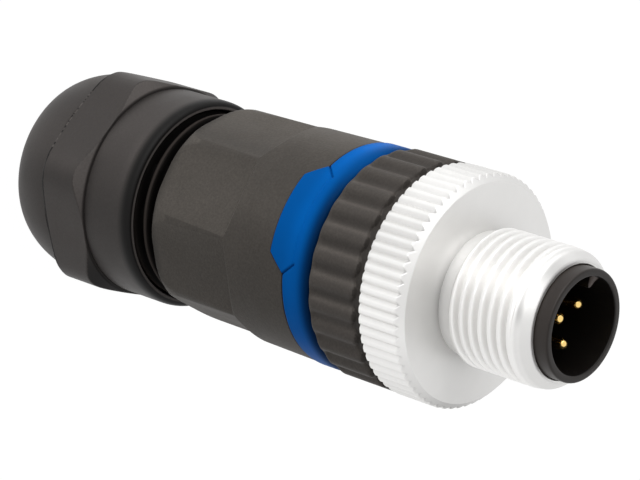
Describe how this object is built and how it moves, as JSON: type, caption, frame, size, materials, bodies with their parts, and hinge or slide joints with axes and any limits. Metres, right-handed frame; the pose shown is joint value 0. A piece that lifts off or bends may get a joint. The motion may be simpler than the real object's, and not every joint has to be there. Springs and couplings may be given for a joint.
{
  "type": "cable plug",
  "caption": "Straight round cable plug with a screw gland, a flagged marking ring, a ribbed grip, a knurled M12 coupling screw and gold contact pins in a keyed shroud.",
  "frame": {"origin": "centre of the flat rear end of the gland nut, on the plug's axis", "axes": "+Z along the plug's axis from the cable gland to the contacts, -Y towards the middle of the marking ring's flag, +X to the right when looking at the flag with the contacts up"},
  "size_m": [0.0212, 0.0212, 0.0605],
  "materials": {
    "body_plastic": "fine matte grain",
    "nut_plastic": "satin, smoother than the housing",
    "blue_plastic": "satin gloss blue",
    "plated_metal": "satin plated",
    "carrier_plastic": "satin",
    "inner_plastic": "matte",
    "seal_rubber": "matte",
    "contact_metal": "gold plated",
    "screw_steel": "plain"
  },
  "bodies": {
    "housing": {"housing": "body_plastic", "colour_ring": "blue_plastic", "gland_seal": "seal_rubber"},
    "clamp": {"clamp_cage": "inner_plastic"},
    "nut": {"gland_nut": "nut_plastic"},
    "seal_ring": {"housing_seal": "seal_rubber"},
    "front": {"grip_body": "body_plastic", "contact_carrier": "carrier_plastic", "carrier_seal": "seal_rubber", "terminal_block": "inner_plastic", "block_cover": "inner_plastic", "contact_1": "contact_metal", "contact_2": "contact_metal", "contact_3": "contact_metal", "contact_4": "contact_metal", "contact_5": "contact_metal", "terminal_screw_1": "screw_steel", "terminal_screw_2": "screw_steel", "terminal_screw_3": "screw_steel", "terminal_screw_4": "screw_steel", "terminal_screw_5": "screw_steel"},
    "screw": {"coupling_screw": "plated_metal"}
  },
  "joints": [
    {"name": "clamp_slide", "type": "slide", "parent": "housing", "child": "clamp", "axis": [0, 0, -1], "range_m": [0, 0.0045]},
    {"name": "nut_turn", "type": "hinge", "parent": "clamp", "child": "nut", "pos_m": [0, 0, 0.012], "axis": [0, 0, -1], "range_deg": [0, 1080]},
    {"name": "seal_slide", "type": "slide", "parent": "housing", "child": "seal_ring", "axis": [0, 0, 1], "range_m": [0, 0.006]},
    {"name": "front_turn", "type": "hinge", "parent": "seal_ring", "child": "front", "pos_m": [0, 0, 0.04], "axis": [0, 0, 1], "range_deg": [0, 2160]},
    {"name": "screw_spin", "type": "hinge", "parent": "front", "child": "screw", "pos_m": [0, 0, 0.05], "axis": [0, 0, 1], "continuous": true}
  ],
  "couplings": [
    {"joint": "nut_turn", "follows": "clamp_slide", "rad_per_m": 4188.8},
    {"joint": "front_turn", "follows": "seal_slide", "rad_per_m": 6283.2}
  ]
}
